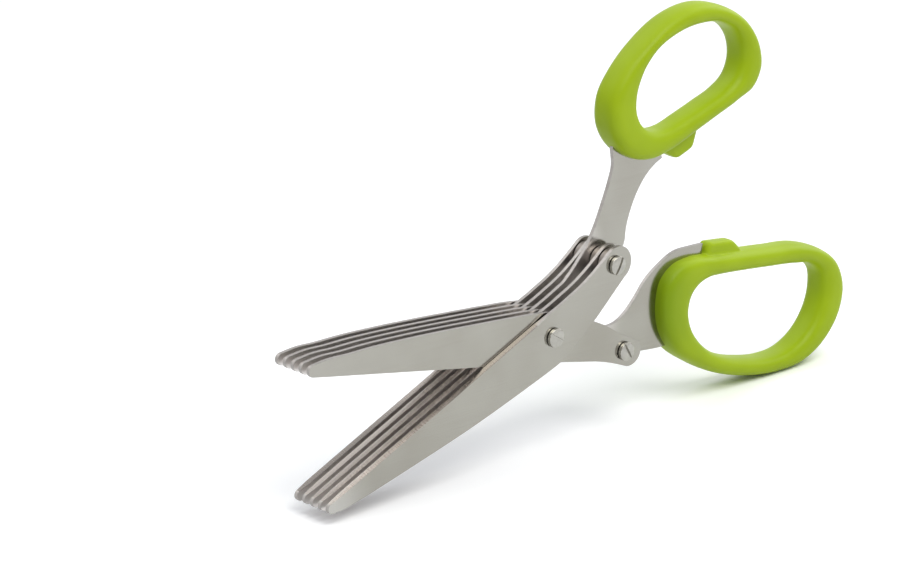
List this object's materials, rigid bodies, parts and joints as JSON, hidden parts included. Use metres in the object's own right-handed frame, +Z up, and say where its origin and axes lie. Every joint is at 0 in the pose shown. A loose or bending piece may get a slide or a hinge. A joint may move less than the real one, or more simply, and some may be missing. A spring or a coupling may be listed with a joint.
{
  "type": "herb scissors",
  "caption": "Herb scissors: fans of parallel ground steel blades interleave on a common pivot screw, with moulded plastic finger loops.",
  "frame": {"origin": "centre of the footprint, on the ground below the scissors as they stand on edge", "axes": "+X from the blade tips towards the handles, +Y through the stack of blades from the front blade to the last, +Z up"},
  "size_m": [0.2178, 0.0196, 0.1224],
  "materials": {
    "blade_steel": "satin",
    "fastener_steel": "polished",
    "handle_plastic": "satin"
  },
  "bodies": {
    "arm_a": {"blade_a1": "blade_steel", "blade_a2": "blade_steel", "blade_a3": "blade_steel", "blade_a4": "blade_steel", "blade_a5": "blade_steel", "spacer_a1": "fastener_steel", "spacer_a2": "fastener_steel", "spacer_a3": "fastener_steel", "spacer_a4": "fastener_steel", "handle_a": "handle_plastic", "pivot_screw": "fastener_steel", "pivot_nut": "fastener_steel", "rear_a_screw": "fastener_steel", "rear_a_nut": "fastener_steel"},
    "arm_b": {"blade_b1": "blade_steel", "blade_b2": "blade_steel", "blade_b3": "blade_steel", "blade_b4": "blade_steel", "blade_b5": "blade_steel", "spacer_b1": "fastener_steel", "spacer_b2": "fastener_steel", "spacer_b3": "fastener_steel", "spacer_b4": "fastener_steel", "handle_b": "handle_plastic", "rear_b_screw": "fastener_steel", "rear_b_nut": "fastener_steel"}
  },
  "joints": [
    {"name": "pivot", "type": "hinge", "parent": "arm_a", "child": "arm_b", "pos_m": [-0.01954, 0, 0.03553], "axis": [0, 1, 0], "range_deg": [-26.5, 98]}
  ]
}
